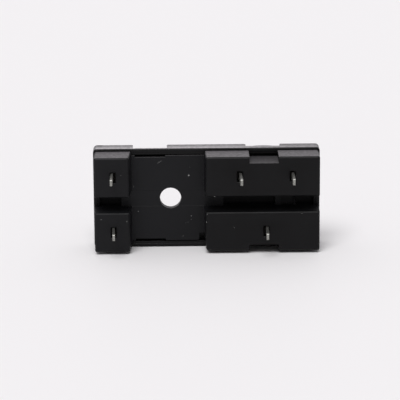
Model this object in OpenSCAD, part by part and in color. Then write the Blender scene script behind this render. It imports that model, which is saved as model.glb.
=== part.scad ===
// Five-pole printed-circuit relay socket, standing on one long side.
// X runs along the length, the solder tails leave towards -Y, the relay plugs
// in from +Y, Z is up. z = 0 is the surface the lower cover edge rests on.
// All lengths are millimetres.

/* [Pin grid] */
// distance between the upper and the lower contact row
row_spacing = 7.5; // [7.4:0.05:7.6]
// pitch of the three load contacts along the length
load_pitch = 3.5; // [3.4:0.05:4]
// from the coil contacts to the first load contact
coil_to_load = 16.8; // [16:0.05:18]

/* [Base] */
// from the coil contacts to the end of the small block
coil_end_margin = 2.52; // [2:0.01:4]
// from the last load contact to the end of the large block
load_end_margin = 3.63; // [2:0.01:5]
// from a contact row to the long face of the blocks
row_margin = 2.7; // [2.6:0.05:4]
// how far the pin blocks stand out in front of the web
block_depth = 3.8; // [3:0.05:6]
// width of the small block that carries the coil contacts
coil_block_width = 4.64; // [4:0.01:6]
// from the first load contact to the inner end of the large block
load_block_lead = 4.52; // [3:0.01:6]
// lean of the inner wall of the small block over its depth
coil_block_draft = 0.28; // [0:0.01:0.6]
// lean of the inner wall of the large block over its depth
load_block_draft = 0.15; // [0:0.01:0.6]
// corner radius of the blocks
block_corner = 0.26; // [0.1:0.01:0.6]
// larger radius on the lower inner corner of the large block
load_block_foot_radius = 0.6; // [0.2:0.05:1]
// bevel round the board face of the blocks
face_bevel = 0.18; // [0.02:0.01:0.3]
// thickness of the web between the blocks
web_thickness = 1.05; // [0.6:0.05:1.3]

/* [Groove and pockets] */
// height of the groove between the two rows
groove_height = 2.17; // [1.6:0.02:3]
// bevel along both groove edges at the board face
groove_bevel = 0.12; // [0:0.01:0.3]
// bridge across the long pocket of the large block
pocket_rib = 0.8; // [0.4:0.05:1.5]
// from the inner end of the large block to its long pocket
pocket_inset = 2.44; // [1:0.02:4]
// from the inner end of the small block to its pocket
coil_pocket_inset = 1.12; // [0.6:0.02:2]
// length of the shelf behind the bridge
pocket_shelf = 1.7; // [0.8:0.05:2.5]
// depth of that shelf below the groove floor
pocket_shelf_depth = 0.55; // [0.2:0.05:0.9]
// slant of the edge of that shelf over the groove height
pocket_shelf_slant = 0.6; // [0:0.05:1.2]

/* [Clip slots] */
// distance between the two pairs of clip slots
clip_spacing = 15.14; // [14.8:0.02:15.6]
// width of the slot in the large block
clip_slot_width = 3.9; // [3:0.02:5]
// depth of the slot in the large block
clip_slot_depth = 0.87; // [0.4:0.05:1.2]
// width of the relief in the web next to the small block
web_relief_width = 4.05; // [3:0.05:5]
// depth of the relief in the edge of the web
web_relief_depth = 0.25; // [0.05:0.01:0.4]

/* [Web] */
// fixing screw hole in the web
hole_diameter = 2.85; // [2.6:0.05:3.6]
// from the coil contacts to the screw hole
coil_to_hole = 7.6; // [6:0.01:9]
// width of the small corner opening of the web
window_width = 0.84; // [0.5:0.02:1.5]
// height of the small corner opening of the web
window_height = 1.02; // [0.5:0.02:1.5]
// bevel of the web corner beside the small opening
window_bevel = 0.2; // [0:0.05:0.4]

/* [Cover] */
// how far the cover reaches past the ends of the blocks
cover_overhang_end = 0.2; // [0:0.01:0.5]
// how far the cover reaches past the long faces of the blocks
cover_overhang_edge = 0.35; // [0:0.01:0.5]
// depth of the cover from its rim to the relay face
cover_depth = 2.45; // [1.8:0.05:4]
// wall of the rim
rim_wall = 0.8; // [0.5:0.05:1.2]
// floor of the cover under the relay
cover_floor = 1; // [0.6:0.05:1.5]
// radius of the cover corners
cover_corner = 0.5; // [0.2:0.05:1]
// bevel round the relay face
cover_bevel = 0.12; // [0.02:0.01:0.3]
// clearance hole for the screw head in the cover
head_hole_diameter = 6.2; // [5.6:0.1:7]
// width of the notches in the long edges of the cover
notch_width = 4.56; // [4:0.02:5]
// wall left between the bottom of a notch and the inside of the rim
notch_floor = 0.2; // [0.1:0.05:0.5]
// lip left in front of the notch near the coil contacts
coil_lip = 0.45; // [0.2:0.05:1.5]
// lip left in front of the notch near the load contacts
load_lip = 1.15; // [0.2:0.05:1.5]
// crown in the middle of the lip near the load contacts
load_lip_crown = 0.32; // [0.04:0.02:0.5]
// radius of that crown
crown_radius = 3.2; // [2:0.1:6]
// rounding of the notch corners at the relay face
notch_corner = 0.45; // [0.1:0.05:0.8]
// width of the sunk land along the inside of the rim
rim_land_width = 0.33; // [0.1:0.01:0.5]
// depth of that land
rim_land_depth = 0.08; // [0.02:0.01:0.3]

/* [Relay entries] */
// width of an entry for a coil blade
coil_entry_width = 0.8; // [0.6:0.05:1.2]
// length of an entry for a coil blade
coil_entry_length = 1.5; // [1:0.05:2]
// width of an entry for a load blade
load_entry_width = 0.9; // [0.6:0.05:1.2]
// length of an entry for a load blade
load_entry_length = 2; // [1.2:0.05:2.4]
// depth of the funnel at the mouth of an entry
funnel_depth = 0.35; // [0.1:0.05:0.6]
// how much the funnel widens on each side
funnel_flare = 0.3; // [0.1:0.05:0.5]

/* [Contacts] */
// sheet thickness of the contacts
sheet = 0.32; // [0.2:0.01:0.5]
// width of the solder tails
tail_width = 1; // [0.8:0.05:1.4]
// width of a tail at its end
tail_tip_width = 0.86; // [0.6:0.02:1.2]
// how far the tails stand out of the board face
tail_length = 3.25; // [2.5:0.05:4.5]
// length of the narrowing at the end of a tail
tail_taper = 0.9; // [0.3:0.05:1.5]
// bevel round the mouth of a tail slot
tail_slot_bevel = 0.09; // [0.02:0.01:0.2]
// corner radius of the rectangular slots
slot_corner = 0.1; // [0.02:0.01:0.2]
// width of the spring part of a contact
spring_width = 2.1; // [1.4:0.05:2.6]
// half opening of the spring part at its root
spring_half_gap = 0.62; // [0.4:0.02:0.8]
// straight length of a spring above its root
spring_straight = 1.2; // [0.6:0.05:2]
// gap between the two springs where they grip
grip_gap = 0.3; // [0.1:0.02:0.5]
// length of the flared lead-in of the springs
lead_in = 0.9; // [0.5:0.05:1.4]
// bevel on the end of a tail
tail_tip_bevel = 0.1; // [0:0.01:0.3]

/* [Lie of the tails] */
// each tail uses up the play of its slot by these shares: sideways at the
// board face, sideways at the tip, upwards
// lie of the upper coil tail
coil_upper_lie = [-0.9, -1, 0.6]; // [-1:0.1:1]
// lie of the lower coil tail
coil_lower_lie = [-0.2, 0.4, 0.9]; // [-1:0.1:1]
// lie of the inner load tail
inner_lie = [0.6, 1, 0]; // [-1:0.1:1]
// lie of the middle load tail
middle_lie = [0.9, 0.5, 0.6]; // [-1:0.1:1]
// lie of the outer load tail
outer_lie = [0.2, 0.2, 0]; // [-1:0.1:1]

/* [Clearances] */
// play between the rim and the plate inside it
rim_play = 0.13; // [0.05:0.01:0.3]
// gap between the blocks and the rim behind them
seat_gap = 0.05; // [0.02:0.01:0.1]
// gap between the plate and the cover floor
floor_gap = 0.05; // [0.02:0.01:0.1]
// play of a tail in its slot, sideways
tail_play = 0.17; // [0.1:0.01:0.3]
// play of a tail in its slot, up and down
tail_end_play = 0.2; // [0.05:0.01:0.3]
// play of a contact in its chamber
chamber_play = 0.08; // [0.04:0.01:0.2]
// gap between a contact and the cover floor
contact_end_gap = 0.1; // [0.05:0.01:0.3]
// wall in front of the contact chambers
front_wall = 1.1; // [0.8:0.05:1.6]

/* [Hidden] */
$fn = 32;
eps = 0.02;
past = 1;

block_span = coil_end_margin + coil_to_load + 2 * load_pitch + load_end_margin;
block_height = row_spacing + 2 * row_margin;
cover_length = block_span + 2 * cover_overhang_end;
cover_height = block_height + 2 * cover_overhang_edge;
half_span = block_span / 2;
half_h = block_height / 2;
coil_x = coil_end_margin - half_span;
inner_x = coil_x + coil_to_load;
middle_x = inner_x + load_pitch;
outer_x = middle_x + load_pitch;
row = row_spacing / 2;
clip_x = clip_spacing / 2;
hole_x = coil_x + coil_to_hole;
load_block_start = inner_x - load_block_lead;
rim_half_x = cover_length / 2 - rim_wall;
rim_half_z = cover_height / 2 - rim_wall;
plate_half_x = rim_half_x - rim_play;
plate_half_z = rim_half_z - rim_play;
rim_y = block_depth + seat_gap;
relay_y = rim_y + cover_depth;
floor_y = relay_y - cover_floor;
web_back_y = block_depth + web_thickness;
plate_back_y = floor_y - floor_gap;
board_y = -(relay_y - tail_length) / 2;
mid_z = cover_height / 2;
coil_block_end = -half_span + coil_block_width;
spring_top_y = floor_y - contact_end_gap;
spring_root_y = front_wall + chamber_play;
chamber_half_x = spring_half_gap + sheet + chamber_play;
chamber_half_z = spring_width / 2 + chamber_play;

coil_places = [[coil_x, row], [coil_x, -row]];
load_places = [[inner_x, row], [middle_x, -row], [outer_x, row]];
slot_corners = all_corners(slot_corner);

plastic = [0.13, 0.13, 0.14];
plastic_cover = [0.16, 0.16, 0.17];
tin = [0.72, 0.72, 0.7];

module placed() translate([0, board_y, mid_z]) children();

function all_corners(r) = [r, r, r, r];

// outline of a rectangle with one radius per corner, always with the same number of points
function arc_pts(cx, cz, r, a0, n) = [for (i = [0:n]) [cx + r * cos(a0 + 90 * i / n), cz + r * sin(a0 + 90 * i / n)]];
function round_rect(x0, x1, z0, z1, r, n = 5) = concat(
    arc_pts(x1 - r[0], z1 - r[0], r[0], 0, n),
    arc_pts(x0 + r[1], z1 - r[1], r[1], 90, n),
    arc_pts(x0 + r[2], z0 + r[2], r[2], 180, n),
    arc_pts(x1 - r[3], z0 + r[3], r[3], 270, n));

// solid through a stack of outlines of equal point count; each entry is [y, outline]
module loft(stack) {
    m = len(stack[0][1]);
    k = len(stack);
    pts = [for (s = stack) for (p = s[1]) [p[0], s[0], p[1]]];
    side = [for (j = [0:k - 2]) for (i = [0:m - 1])
        [j * m + i, j * m + (i + 1) % m, (j + 1) * m + (i + 1) % m, (j + 1) * m + i]];
    polyhedron(pts, concat([[for (i = [0:m - 1]) m - 1 - i]], side, [[for (i = [0:m - 1]) (k - 1) * m + i]]), convexity = 4);
}

// pin block from the board face back to the plate, with leaning walls
module block(x0, x1, draft0, draft1, r) {
    b = face_bevel;
    loft([
        [0, round_rect(x0 + b, x1 - b, -half_h + b, half_h - b, r)],
        [b, round_rect(x0, x1, -half_h, half_h, r)],
        [block_depth, round_rect(x0 - draft0, x1 + draft1, -half_h, half_h, r)]]);
}

// box given by its limits
module limits(x0, x1, y0, y1, z0, z1) translate([x0, y0, z0]) cube([x1 - x0, y1 - y0, z1 - z0]);

module tail_slot(x, z) translate([x, 0, z]) {
    w = sheet / 2 + tail_play;
    h = tail_width / 2 + tail_end_play;
    c = tail_slot_bevel + eps;
    limits(-w, w, -past, front_wall + eps, -h, h);
    loft([
        [-eps, round_rect(-w - c, w + c, -h - c, h + c, slot_corners, 2)],
        [tail_slot_bevel, round_rect(-w, w, -h, h, slot_corners, 2)]]);
}

module chamber(x, z) translate([x, 0, z])
    limits(-chamber_half_x, chamber_half_x, front_wall, plate_back_y + past, -chamber_half_z, chamber_half_z);

module groove() {
    g = groove_height / 2;
    c = groove_bevel * sqrt(2);
    limits(-cover_length, cover_length, -past, block_depth, -g, g);
    for (s = [-1, 1])
        translate([0, 0, s * g]) rotate([45, 0, 0]) cube([2 * cover_length, c, c], center = true);
}

// pockets through the floor of the groove, open at the outer ends of the plate
module pockets() {
    g = groove_height / 2;
    rib_x = (middle_x + outer_x) / 2;
    rib_start = rib_x - pocket_rib / 2;
    rib_end = rib_x + pocket_rib / 2;
    shelf_end = rib_end + pocket_shelf;
    slant = pocket_shelf_slant / 2;
    open_end = plate_half_x + past;
    limits(load_block_start + pocket_inset, rib_start, block_depth - eps, plate_back_y + past, -g, g);
    limits(rib_end, shelf_end, block_depth - eps, block_depth + pocket_shelf_depth, -g, g);
    translate([0, plate_back_y + past, 0]) rotate([90, 0, 0]) linear_extrude(plate_back_y + past - block_depth)
        polygon([[shelf_end - slant, g], [open_end, g], [open_end, -g], [shelf_end + slant, -g]]);
    limits(-open_end, coil_block_end - coil_pocket_inset, block_depth - eps, plate_back_y + past, -g, g);
}

// slot for the retaining clip in the long faces of the large block
module clip_slots() for (s = [0, 1]) mirror([0, 0, s])
    translate([clip_x - clip_slot_width / 2, -past, half_h - clip_slot_depth])
        cube([clip_slot_width, plate_back_y + 2 * past, clip_slot_depth + past]);

// shallow relief in the long edges of the web, opposite the clip notches
module web_reliefs() for (s = [0, 1]) mirror([0, 0, s])
    translate([-clip_x - web_relief_width / 2, block_depth - past, plate_half_z - web_relief_depth])
        cube([web_relief_width, web_back_y + past, web_relief_depth + past]);

// square opening in the lower corner of the web, with the bevelled corner beside it
module web_window() translate([load_block_start - window_width, block_depth - past, -plate_half_z]) {
    c = window_bevel * sqrt(2);
    translate([0, 0, -past]) cube([window_width, web_back_y + past, window_height + past]);
    translate([0, web_back_y / 2, 0]) rotate([0, 45, 0]) cube([c, web_back_y + past, c], center = true);
}

module base() color(plastic) placed() difference() {
    union() {
        block(-half_span, coil_block_end, 0, coil_block_draft, all_corners(block_corner));
        block(load_block_start, half_span, load_block_draft, 0,
            [block_corner, block_corner, load_block_foot_radius, block_corner]);
        limits(-plate_half_x, plate_half_x, block_depth - eps, web_back_y, -plate_half_z, plate_half_z);
        limits(-plate_half_x, coil_block_end + coil_block_draft, block_depth - eps, plate_back_y, -plate_half_z, plate_half_z);
        limits(load_block_start - load_block_draft, plate_half_x, block_depth - eps, plate_back_y, -plate_half_z, plate_half_z);
    }
    groove();
    pockets();
    clip_slots();
    web_reliefs();
    web_window();
    for (p = concat(coil_places, load_places)) {
        tail_slot(p[0], p[1]);
        chamber(p[0], p[1]);
    }
    translate([hole_x, block_depth - past, 0]) rotate([-90, 0, 0])
        cylinder(d = hole_diameter, h = web_thickness + 2 * past, $fn = 64);
}

// entry for a relay blade: a slot with a funnel at the relay face
module relay_entry(x, z, w, h) translate([x, 0, z]) {
    f = funnel_flare + eps;
    limits(-w / 2, w / 2, floor_y - past, relay_y + past, -h / 2, h / 2);
    loft([
        [relay_y - funnel_depth, round_rect(-w / 2, w / 2, -h / 2, h / 2, slot_corners, 2)],
        [relay_y + eps, round_rect(-w / 2 - f, w / 2 + f, -h / 2 - f, h / 2 + f, slot_corners, 2)]]);
}

// notch in a long edge of the cover, cut in from the relay face and
// down to a thin wall over the inside of the rim
module cover_notch(x, lip, crown) {
    r = notch_corner;
    w = notch_width / 2;
    translate([x, 0, rim_half_z + notch_floor]) linear_extrude(rim_wall + past) difference() {
        translate([-w - r, rim_y + lip]) square([2 * (w + r), cover_depth + past]);
        for (s = [0, 1]) mirror([s, 0]) {
            translate([w + r, relay_y - r]) circle(r, $fn = 24);
            translate([w, rim_y]) square([2 * r, cover_depth - r]);
        }
        if (crown > 0)
            translate([0, rim_y + lip + crown - crown_radius]) circle(crown_radius, $fn = 64);
    }
}

module cover() color(plastic_cover) placed() difference() {
    r = all_corners(cover_corner);
    hx = cover_length / 2;
    hz = cover_height / 2;
    lx = rim_half_x + rim_land_width;
    lz = rim_half_z + rim_land_width;
    b = cover_bevel;
    loft([
        [rim_y, round_rect(-hx + b, hx - b, -hz + b, hz - b, r)],
        [rim_y + b, round_rect(-hx, hx, -hz, hz, r)],
        [relay_y - b, round_rect(-hx, hx, -hz, hz, r)],
        [relay_y, round_rect(-hx + b, hx - b, -hz + b, hz - b, r)]]);
    limits(-lx, lx, rim_y - past, rim_y + rim_land_depth, -lz, lz);
    limits(-rim_half_x, rim_half_x, rim_y - past, floor_y, -rim_half_z, rim_half_z);
    for (s = [0, 1]) mirror([0, 0, s]) {
        cover_notch(-clip_x, coil_lip, 0);
        cover_notch(clip_x, load_lip, load_lip_crown);
    }
    for (p = coil_places) relay_entry(p[0], p[1], coil_entry_width, coil_entry_length);
    for (p = load_places) relay_entry(p[0], p[1], load_entry_width, load_entry_length);
    translate([hole_x, floor_y - past, 0]) rotate([-90, 0, 0])
        cylinder(d = head_hole_diameter, h = cover_floor + 2 * past, $fn = 64);
}

// bent strip drawn as a polyline in the X-Y plane
module strip(p, t) {
    for (i = [0:len(p) - 2]) {
        d = p[i + 1] - p[i];
        translate(p[i]) rotate(atan2(d[1], d[0])) translate([0, -t / 2]) square([norm(d), t]);
    }
    for (i = [1:len(p) - 2]) translate(p[i]) circle(d = t, $fn = 16);
}

// stamped contact: two springs that meet in a yoke, and a solder tail
module contact(x, z, lie) color(tin) placed() translate([x, 0, z]) {
    t = sheet;
    g = spring_half_gap + t / 2;
    root_y = spring_root_y + t / 2;
    // springs and yoke
    translate([0, 0, -spring_width / 2]) linear_extrude(spring_width) for (s = [-1, 1])
        strip([
            [0, root_y],
            [s * g, root_y],
            [s * g, spring_root_y + spring_straight],
            [s * (grip_gap + t) / 2, spring_top_y - lead_in],
            [s * g, spring_top_y - t / 2]], t);
    // solder tail: the bent strip seen from above, cut to its tapered side view
    intersection() {
        translate([0, 0, -tail_width]) linear_extrude(2 * tail_width)
            strip([[0, root_y], [lie[0] * tail_play, 0], [lie[1] * tail_play, -tail_length]], t);
        translate([-past, 0, lie[2] * tail_end_play]) rotate([90, 0, 90]) linear_extrude(2 * past)
            tail_outline(root_y);
    }
}

// side view of a tail, with its tapered and bevelled end
module tail_outline(root_y) {
    w = tail_width / 2;
    e = tail_tip_width / 2;
    b = tail_tip_bevel;
    upper = [[root_y, w], [tail_taper - tail_length, w], [b - tail_length, e], [-tail_length, e - b]];
    polygon(concat(upper, [for (i = [3:-1:0]) [upper[i][0], -upper[i][1]]]));
}

module contact_coil_upper() contact(coil_x, row, coil_upper_lie);
module contact_coil_lower() contact(coil_x, -row, coil_lower_lie);
module contact_inner() contact(inner_x, row, inner_lie);
module contact_middle() contact(middle_x, -row, middle_lie);
module contact_outer() contact(outer_x, row, outer_lie);

base();
cover();
contact_coil_upper();
contact_coil_lower();
contact_inner();
contact_middle();
contact_outer();
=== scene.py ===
"""Looks of the printed-circuit relay socket: plastics, tinned contacts, dust, floor, light and camera.

All lengths are metres in the part's own frame: +X along the length, the solder
tails leave towards -Y, +Z is up and the part stands on z = 0.
"""

import math
import random

import bmesh
import bpy
from mathutils import Matrix, Vector


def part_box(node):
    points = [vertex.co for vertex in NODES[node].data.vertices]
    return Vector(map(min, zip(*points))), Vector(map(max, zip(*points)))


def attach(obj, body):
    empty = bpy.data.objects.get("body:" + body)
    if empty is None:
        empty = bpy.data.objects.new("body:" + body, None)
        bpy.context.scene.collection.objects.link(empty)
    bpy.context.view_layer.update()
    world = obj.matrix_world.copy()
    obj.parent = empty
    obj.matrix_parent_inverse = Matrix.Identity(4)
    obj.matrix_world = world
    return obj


MM = 0.001

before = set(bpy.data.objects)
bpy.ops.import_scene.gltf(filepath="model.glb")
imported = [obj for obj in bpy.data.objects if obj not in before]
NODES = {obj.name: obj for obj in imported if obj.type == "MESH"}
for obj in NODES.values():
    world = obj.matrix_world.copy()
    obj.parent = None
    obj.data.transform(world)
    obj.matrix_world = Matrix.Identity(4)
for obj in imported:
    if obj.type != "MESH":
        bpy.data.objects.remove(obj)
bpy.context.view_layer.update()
BOARD_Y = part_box("base")[0].y  # the block faces, where the tails leave
COVER_LOW, COVER_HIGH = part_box("cover")
MID_Z = (COVER_LOW.z + COVER_HIGH.z) / 2
WEB_Y = COVER_LOW.y - 0.05 * MM  # face of the web between the blocks
CONTACTS = [name for name in NODES if name.startswith("contact_")]

# Black plastic. Noise scales are cells per metre.
PLASTIC_DARK = (0.0022, 0.0021, 0.0024, 1)
PLASTIC_LIGHT = (0.0037, 0.0036, 0.0041, 1)
PLASTIC_GLOSS = 0.15
PLASTIC_EDGE = 0.07 * MM  # radius of the rounded edges
GRAIN_SCALE = 5200
SHADE_SCALE = 260
FLOW_SCALE = 110
FLOW_ROUGHNESS = 0.1  # how far the flow marks change the roughness
RELIEF_DEPTH = 0.02 * MM  # of the bumps, on the tin as well

# Painted light on the base: lighter towards the left end, where the light falls from the left, and lighter
# in the recess between the blocks, where it lifts the shade
PAINTED_LIGHT = (0.0078, 0.0079, 0.0092, 1)
PAINTED_LIGHT_FROM_X = 4 * MM
PAINTED_LIGHT_FULL_X = -16 * MM
PAINTED_LIGHT_LEFT = 0.75
PAINTED_LIGHT_FROM_DEPTH = 0.5 * MM  # behind the block faces
PAINTED_LIGHT_FULL_DEPTH = 2 * MM
PAINTED_LIGHT_RECESS = 0.5

# Pale specks in the plastic
SPECK = (0.1, 0.1, 0.1, 1)
SPECK_SCALE = 620
SPECK_RADIUS = 0.045  # share of a cell
SPECK_PATCH_SCALE = 900
SPECK_RARITY = 0.62  # only places where the patches' noise is above this have specks
SPECK_STRENGTH = 0.5

# Dust and painted top light on the upward faces: mottled settled dust, and the tops painted lighter as if
# lit from above
TOP_LIGHT_AND_DUST = (0.145, 0.137, 0.144, 1)
# painted highlight with thick dust along the cover's front edge
EDGE_HIGHLIGHT_AND_DUST = (0.56, 0.53, 0.553, 1)
DUST_AND_LIGHT_FROM_Z = 4.9 * MM  # above the middle
DUST_AND_LIGHT_FULL_Z = 6.4 * MM
DUST_AND_LIGHT_FROM_NORMAL = 0.85  # the normal's part along Z
DUST_AND_LIGHT_FULL_NORMAL = 0.98
DUST_AND_LIGHT_LEAST = 0.6  # share of the surface that the dust and painted top light cover where they are thinnest
DUST_AND_LIGHT_CLUMP = 0.35  # what a clump adds to that share
DUST_ROUGHNESS = 0.13  # what the gaps between clumps add to the roughness
CLUMP_SCALE = 2400
CRUMB_SCALE = 7000
HIGHLIGHT_AND_DUST_EDGE = 2.2 * MM  # how far the painted highlight and thick dust reach in from the cover's front edge
HIGHLIGHT_AND_DUST_EDGE_FULL_X = 2 * MM
HIGHLIGHT_AND_DUST_EDGE_END_X = 15 * MM
HIGHLIGHT_AND_DUST_EDGE_LEAST = 0.4  # share of it that is left at the right end

# Chafed spot on the cover's upper left corner, at the back: less dust and painted top light, and no gloss
CHAFED = Vector((COVER_LOW.x + 0.825 * MM, COVER_HIGH.y - 0.2 * MM, COVER_HIGH.z))
CHAFED_RADIUS = 0.4 * MM
CHAFED_END = 0.7 * MM  # it fades out from the radius to here
CHAFED_DUST_AND_LIGHT = 0.2  # share of the dust and painted top light that is left

# Dull tin, with painted shade inside the block
TIN_DARK = (0.21, 0.21, 0.196, 1)
TIN_LIGHT = (0.335, 0.335, 0.312, 1)
TIN_EDGE = 0.04 * MM
TIN_CLOUD_SCALE = 5200
TIN_LINE_SCALE = 2600
TIN_ROUGHNESS = 0.4
TIN_CLOUD_ROUGHNESS = 0.16  # what a cloud adds
TIN_GRAIN = 0.18
# painted shade: near-black tin inside the block
TIN_PAINTED_SHADE = (0.02, 0.018, 0.016, 1)
TIN_SHADE_FROM_DEPTH = 0.1 * MM  # behind the block faces
TIN_SHADE_FULL_DEPTH = 0.4 * MM

# Crumbs and fibres of dust. Places are x and z from the middle of the part, all in millimetres.
FLECK_DARK = (0.24, 0.24, 0.24, 1)
FLECK_LIGHT = (0.4, 0.396, 0.385, 1)
FLECK_CLOUD_SCALE = 4000
WEB_FLECKS = [  # x, z, size
    (-2.4, 3.1, 0.26), (-2.2, 4.2, 0.15), (-9.8, 1.6, 0.14), (-9.2, -1.8, 0.16),
    (-5.4, -2.9, 0.11), (-2.1, -2.5, 0.16), (-2.1, -3, 0.14), (-3.2, -5.3, 0.15),
]
BLOCK_FLECKS = [
    (-14.1, -1.9, 0.1), (-10.7, -2.2, 0.11), (0, -1.3, 0.11), (-0.1, -2.4, 0.11),
    (3.6, -3.2, 0.08), (12.6, -1.3, 0.08), (1, 1.1, 0.1), (-11.4, 4.1, 0.08),
]
BLOCK_SEED = 40  # the first of the seeds for the flecks on the blocks
WEB_FIBRES = [  # points, width
    ([(-6.55, 4.8), (-6.4, 4.95), (-6.2, 5.05), (-6.05, 5.15)], 0.038),
    ([(-2.85, -3.5), (-2.7, -3.45), (-2.5, -3.35)], 0.03),
]
FIBRE_SECTION = [(-0.4, 0, 0.7), (0, -0.8, 0), (0.4, 0, -0.7)]  # corners, in widths

# Studio
FLOOR_COLOUR = (0.86, 0.846, 0.857, 1)
FLOOR_RADIUS = 3.0
WALL_COLOUR = (0.885, 0.868, 0.89, 1)

# Surround: its level rises from dim to bright with the cosine of the angle to the bright side
SURROUND_TINT = (1, 0.985, 1, 1)
BRIGHT_SIDE = (-0.3, 0.75, 0.6)
BRIGHT_FROM = 0.2
BRIGHT_FULL = 0.7
DIM_LEVEL = 0.33
BRIGHT_LEVEL = 0.6

# Key light
KEY_FROM = (-0.08, -0.3, 0.5)  # direction towards it
KEY_LEVEL = 2.15
KEY_SPREAD = 34  # degrees

# Camera
CAMERA_DISTANCE = 300 * MM
CAMERA_ELEVATION = 14.5  # degrees, as the next two
CAMERA_AZIMUTH = -0.733
CAMERA_ROLL = -0.379
CAMERA_AIM = Vector((-0.951 * MM, 0, 0.66 * MM))  # from the middle of the board side
CAMERA_SENSOR = 36  # millimetres
CAMERA_LENS = 203.53  # millimetres
CAMERA_NEAR = 0.01
CAMERA_FAR = 20


# ---------------------------------------------------------------- node trees


class Tree:
    """The node tree of a material or a world, with short calls for the nodes used here."""

    def __init__(self, owner, output, coordinates):
        owner.use_nodes = True
        self.nodes = owner.node_tree.nodes
        self.links = owner.node_tree.links
        self.nodes.clear()
        self.output = self.nodes.new(output)
        self.place = self.new("ShaderNodeTexCoord", out=coordinates)

    def put(self, socket, value):
        if isinstance(value, bpy.types.NodeSocket):
            self.links.new(value, socket)
        else:
            socket.default_value = value

    def new(self, kind, *values, out=0, **named):
        """Adds a node and returns one of its outputs. The values fill its inputs in order.
        A name in lower case is a setting of the node, and one with a capital is an input."""
        node = self.nodes.new(kind)
        for name, value in named.items():
            if name.islower():
                setattr(node, name, value)
        for socket, value in zip(node.inputs, values):
            self.put(socket, value)
        for name, value in named.items():
            if not name.islower():
                self.put(node.inputs[name.replace("_", " ")], value)
        return node.outputs[out]

    def math(self, operation, a, b):
        return self.new("ShaderNodeMath", a, b, operation=operation)

    def weighted(self, a, weight_a, b, weight_b):
        return self.math("ADD", self.math("MULTIPLY", a, weight_a), self.math("MULTIPLY", b, weight_b))

    def noise(self, scale, detail, rough, stretch=(1, 1, 1)):
        vector = self.new("ShaderNodeMapping", Vector=self.place, Scale=stretch)
        return self.new("ShaderNodeTexNoise", Vector=vector, Scale=scale, Detail=detail, Roughness=rough)

    def axes(self):
        """The surface's place along X, Y and Z."""
        node = self.nodes.new("ShaderNodeSeparateXYZ")
        self.put(node.inputs[0], self.place)
        return node.outputs

    def span(self, value, start, end, low=0.0, high=1.0):
        """Low at start and before it, high at end and past it."""
        ends = {"From_Min": start, "From_Max": end, "To_Min": low, "To_Max": high}
        return self.new("ShaderNodeMapRange", Value=value, **ends)

    def blend(self, factor, a, b):
        return self.new("ShaderNodeMix", out="Result", data_type="RGBA", Factor=factor, A=a, B=b)

    def relief(self, height, strength, edge_radius):
        """A bumpy surface with rounded edges."""
        rounded = self.new("ShaderNodeBevel", samples=6, Radius=edge_radius)
        return self.new("ShaderNodeBump", Height=height, Strength=strength, Distance=RELIEF_DEPTH,
                        Normal=rounded)


class Shader(Tree):
    """A new material, whose patterns lie in the part's frame."""

    def __init__(self, name):
        self.material = bpy.data.materials.new(name)
        super().__init__(self.material, "ShaderNodeOutputMaterial", "Object")

    def surface(self, **inputs):
        """Ends the material in one shader and returns it."""
        self.put(self.output.inputs["Surface"], self.new("ShaderNodeBsdfPrincipled", **inputs))
        return self.material


# ---------------------------------------------------------------- materials


def with_painted_light(s, colour):
    """Painted light: lighter towards the small block, where the light falls from the left, and lighter on
    the web, deeper than the block faces, where it lifts the shade.
    """
    along, deep, _ = s.axes()
    left = s.span(along, PAINTED_LIGHT_FROM_X, PAINTED_LIGHT_FULL_X, high=PAINTED_LIGHT_LEFT)
    recess = s.span(deep, BOARD_Y + PAINTED_LIGHT_FROM_DEPTH, BOARD_Y + PAINTED_LIGHT_FULL_DEPTH, high=PAINTED_LIGHT_RECESS)
    return s.blend(s.math("MINIMUM", s.math("ADD", left, recess), 1.0), colour, PAINTED_LIGHT)


def speckled(s, colour):
    """A few pale specks, in some cells of a scatter."""
    distance = s.new("ShaderNodeTexVoronoi", out="Distance", Vector=s.place, Scale=SPECK_SCALE)
    chosen = s.math("GREATER_THAN", s.noise(SPECK_PATCH_SCALE, detail=1, rough=0.5), SPECK_RARITY)
    speck = s.math("MULTIPLY", s.math("LESS_THAN", distance, SPECK_RADIUS), chosen)
    return s.blend(s.math("MULTIPLY", speck, SPECK_STRENGTH), colour, SPECK)


def cover_dust_and_highlight(s):
    """Colour of the cover's dust and painted highlight: a painted highlight with thick dust along its front
    edge, weaker there towards the right, where less light falls.
    """
    along, deep, _ = s.axes()
    edge = s.span(deep, COVER_LOW.y + HIGHLIGHT_AND_DUST_EDGE, COVER_LOW.y)
    leftward = s.math("MAXIMUM", s.span(along, HIGHLIGHT_AND_DUST_EDGE_END_X, HIGHLIGHT_AND_DUST_EDGE_FULL_X), HIGHLIGHT_AND_DUST_EDGE_LEAST)
    return s.blend(s.math("MULTIPLY", edge, leftward), TOP_LIGHT_AND_DUST, EDGE_HIGHLIGHT_AND_DUST)


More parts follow.
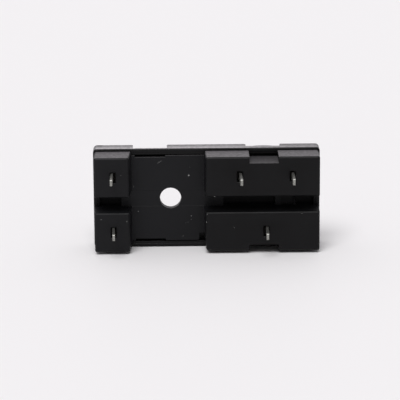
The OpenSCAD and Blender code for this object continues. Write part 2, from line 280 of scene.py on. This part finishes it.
def moulded_plastic(name, rough, grain, is_cover):
    """Black moulded plastic: fine spark-eroded grain, flow marks, and mottled dust with painted top light
    on the upward faces.
    The base has painted light too, towards the left end and in the recess. The cover has a painted
    highlight with thick dust along an edge and a spot that is chafed."""
    s = Shader(name)
    fine = s.noise(GRAIN_SCALE, detail=4, rough=0.6)
    shade = s.noise(SHADE_SCALE, detail=3, rough=0.5, stretch=(1, 1, 1.4))
    flow = s.noise(FLOW_SCALE, detail=2, rough=0.5, stretch=(0.35, 1, 1.2))
    colour = s.blend(s.span(shade, 0.3, 0.75), PLASTIC_DARK, PLASTIC_LIGHT)
    # Painted light on the base: lighter towards the left end and in the recess between the blocks
    if not is_cover:
        colour = with_painted_light(s, colour)
    colour = speckled(s, colour)

    # Dust and painted top light: upward faces near the top are painted lighter, mottled by clumps
    normal = s.new("ShaderNodeNewGeometry", out="Normal")
    upward = s.new("ShaderNodeSeparateXYZ", normal, out="Z")
    near_top = s.span(s.axes()[2], MID_Z + DUST_AND_LIGHT_FROM_Z, MID_Z + DUST_AND_LIGHT_FULL_Z)
    settled_dust_and_light = s.math("MULTIPLY", s.span(upward, DUST_AND_LIGHT_FROM_NORMAL, DUST_AND_LIGHT_FULL_NORMAL), near_top)
    clumps = s.noise(CLUMP_SCALE, detail=2, rough=0.6)
    crumbs = s.span(s.noise(CRUMB_SCALE, detail=2, rough=0.6), 0.3, 0.75, low=0.6)
    clump = s.math("MULTIPLY", crumbs, s.span(clumps, 0.65, 0.35))
    density = s.math("ADD", s.math("MULTIPLY", clump, DUST_AND_LIGHT_CLUMP), DUST_AND_LIGHT_LEAST)
    # The colour of the dust and painted top light
    dust = TOP_LIGHT_AND_DUST
    gloss = PLASTIC_GLOSS
    if is_cover:
        # Painted highlight and thick dust along the cover's front edge
        dust = cover_dust_and_highlight(s)
        distance = s.new("ShaderNodeVectorMath", s.place, CHAFED, out="Value", operation="DISTANCE")
        whole = s.span(distance, CHAFED_RADIUS, CHAFED_END)
        density = s.math("MULTIPLY", density, s.math("MAXIMUM", whole, CHAFED_DUST_AND_LIGHT))
        gloss = s.math("MULTIPLY", whole, PLASTIC_GLOSS)
    # Blends in the dust and painted top light
    colour = s.blend(s.math("MULTIPLY", settled_dust_and_light, density), colour, dust)

    roughness = s.math("ADD", rough - FLOW_ROUGHNESS / 2, s.math("MULTIPLY", flow, FLOW_ROUGHNESS))
    gaps = s.math("MULTIPLY", settled_dust_and_light, s.span(clumps, 0.35, 0.65, high=DUST_ROUGHNESS))
    roughness = s.math("ADD", roughness, gaps)
    normal = s.relief(s.weighted(fine, 0.7, shade, 0.3), grain, PLASTIC_EDGE)
    return s.surface(Base_Color=colour, Roughness=roughness, Specular_IOR_Level=gloss, Normal=normal)


def tin_plate():
    """Dull tin on stamped copper alloy: drawn lines along the strip and a cloudy lustre.
    The springs inside the block are painted dark for the shade in the slots."""
    s = Shader("tinned_strip")
    cloud = s.noise(TIN_CLOUD_SCALE, detail=3, rough=0.6)
    lines = s.noise(TIN_LINE_SCALE, detail=2, rough=0.5, stretch=(1, 0.06, 1))
    colour = s.blend(s.span(cloud, 0.35, 0.65), TIN_DARK, TIN_LIGHT)
    # Painted shade: the tin is darkened behind the block faces
    inside = s.span(s.axes()[1], BOARD_Y + TIN_SHADE_FROM_DEPTH, BOARD_Y + TIN_SHADE_FULL_DEPTH)
    colour = s.blend(inside, colour, TIN_PAINTED_SHADE)
    roughness = s.math("ADD", TIN_ROUGHNESS, s.math("MULTIPLY", cloud, TIN_CLOUD_ROUGHNESS))
    normal = s.relief(s.weighted(lines, 0.6, cloud, 0.4), TIN_GRAIN, TIN_EDGE)
    return s.surface(Base_Color=colour, Metallic=1.0, Roughness=roughness, Normal=normal)


def dust_material():
    s = Shader("dust_fleck")
    colour = s.blend(s.noise(FLECK_CLOUD_SCALE, detail=2, rough=0.55), FLECK_DARK, FLECK_LIGHT)
    return s.surface(Base_Color=colour, Roughness=0.9)


def floor_material():
    return Shader("pale_floor").surface(Base_Color=FLOOR_COLOUR, Roughness=0.6, Specular_IOR_Level=0.2)


def dress(name, material):
    """Gives every face of a CAD node one material."""
    mesh = NODES[name].data
    mesh.materials.clear()
    mesh.materials.append(material)


# ---------------------------------------------------------------- new pieces


def put_in_scene(name, data):
    made = bpy.data.objects.new(name, data)
    bpy.context.scene.collection.objects.link(made)
    return made


def mesh_object(name, bm, material):
    mesh = bpy.data.meshes.new(name)
    bm.to_mesh(mesh)
    bm.free()
    mesh.materials.append(material)
    return put_in_scene(name, mesh)


def fleck(bm, place, size, seed):
    """A flattened crumb of dust lying on a face that looks towards -Y."""
    rng = random.Random(seed)
    turn = Matrix.Rotation(rng.uniform(0, math.pi), 4, "Y")
    shape = Matrix.Diagonal((size, size * 0.35, size * rng.uniform(0.6, 0.9), 1))
    where = Matrix.Translation(place) @ turn @ shape
    made = bmesh.ops.create_icosphere(bm, subdivisions=2, radius=0.5, matrix=where)
    for vert in made["verts"]:
        vert.co += (vert.co - place) * rng.uniform(-0.25, 0.25)


def fibre(bm, points, width):
    """A thin fibre: a three-sided tube along a few points."""
    rings = [[bm.verts.new(point + Vector(corner) * width) for corner in FIBRE_SECTION] for point in points]
    for low, high in zip(rings, rings[1:]):
        for i, j in ((0, 1), (1, 2), (2, 0)):
            bm.faces.new((low[i], low[j], high[j], high[i]))
    bm.faces.new(rings[0][::-1])
    bm.faces.new(rings[-1])


def on_face(face_y, x, z):
    """A point on a face that looks towards -Y, x and z in millimetres from the middle of the part."""
    return Vector((x * MM, face_y, MID_Z + z * MM))


def add_dust():
    """The few crumbs and fibres that lie on the web and on the block faces."""
    bm = bmesh.new()
    for seed, (x, z, size) in enumerate(WEB_FLECKS):
        fleck(bm, on_face(WEB_Y, x, z), size * MM, seed)
    for seed, (x, z, size) in enumerate(BLOCK_FLECKS, BLOCK_SEED):
        fleck(bm, on_face(BOARD_Y, x, z), size * MM, seed)
    for points, width in WEB_FIBRES:
        fibre(bm, [on_face(WEB_Y, x, z) for x, z in points], width * MM)
    dust = mesh_object("dust", bm, dust_material())
    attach(dust, "root")


# ---------------------------------------------------------------- floor, light and camera


def add_floor():
    """A plain pale floor."""
    bm = bmesh.new()
    bmesh.ops.create_circle(bm, cap_ends=True, segments=96, radius=FLOOR_RADIUS)
    mesh_object("floor", bm, floor_material())


def add_world():
    """Soft studio surround, bright above and behind and dimmer in front.
    Seen directly, in a reflection or through glass, it is a plain pale wall."""
    world = bpy.data.worlds.new("studio")
    bpy.context.scene.world = world
    s = Tree(world, "ShaderNodeOutputWorld", "Generated")
    bright_side = Vector(BRIGHT_SIDE).normalized()
    towards = s.new("ShaderNodeVectorMath", s.place, bright_side, out="Value", operation="DOT_PRODUCT")
    level = s.new("ShaderNodeMapRange", interpolation_type="SMOOTHSTEP", Value=towards,
                  From_Min=BRIGHT_FROM, From_Max=BRIGHT_FULL, To_Min=DIM_LEVEL, To_Max=BRIGHT_LEVEL)
    studio = s.new("ShaderNodeBackground", Color=SURROUND_TINT, Strength=level)
    wall = s.new("ShaderNodeBackground", Color=WALL_COLOUR)
    path = s.nodes.new("ShaderNodeLightPath").outputs
    seen = s.math("MAXIMUM", path["Is Camera Ray"], path["Is Glossy Ray"])
    seen = s.math("MAXIMUM", seen, path["Is Transmission Ray"])
    s.put(s.output.inputs["Surface"], s.new("ShaderNodeMixShader", seen, studio, wall))


def add_key():
    """A wide sun from above and in front. It stands for a large softbox and lights the floor evenly."""
    light = bpy.data.lights.new("key", "SUN")
    light.energy = KEY_LEVEL
    light.angle = math.radians(KEY_SPREAD)
    lamp = put_in_scene("key", light)
    lamp.rotation_euler = Vector(KEY_FROM).to_track_quat("Z", "Y").to_euler()


def add_camera():
    """Long lens, a little above the part and a touch to its left, turned by a fraction of a degree."""
    elevation = math.radians(CAMERA_ELEVATION)
    offset = Vector((0, -math.cos(elevation), math.sin(elevation))) * CAMERA_DISTANCE
    swing = Matrix.Rotation(math.radians(CAMERA_AZIMUTH), 4, "Z")
    roll = Matrix.Rotation(math.radians(CAMERA_ROLL), 4, "Z")
    look = (-offset).to_track_quat("-Z", "Y").to_matrix().to_4x4() @ roll
    board_middle = Matrix.Translation(Vector((0, BOARD_Y, MID_Z)))
    camera = bpy.data.cameras.new("camera")
    camera.sensor_width = CAMERA_SENSOR
    camera.lens = CAMERA_LENS
    camera.clip_start = CAMERA_NEAR
    camera.clip_end = CAMERA_FAR
    eye = put_in_scene("camera", camera)
    bpy.context.scene.camera = eye
    eye.matrix_world = board_middle @ swing @ Matrix.Translation(CAMERA_AIM + offset) @ look


# ---------------------------------------------------------------- the scene


dress("base", moulded_plastic("base_plastic", rough=0.42, grain=0.35, is_cover=False))
dress("cover", moulded_plastic("cover_plastic", rough=0.3, grain=0.2, is_cover=True))
tin = tin_plate()
for contact in CONTACTS:
    dress(contact, tin)
add_dust()
add_floor()
add_world()
add_key()
add_camera()
bpy.context.scene.view_settings.view_transform = "Standard"
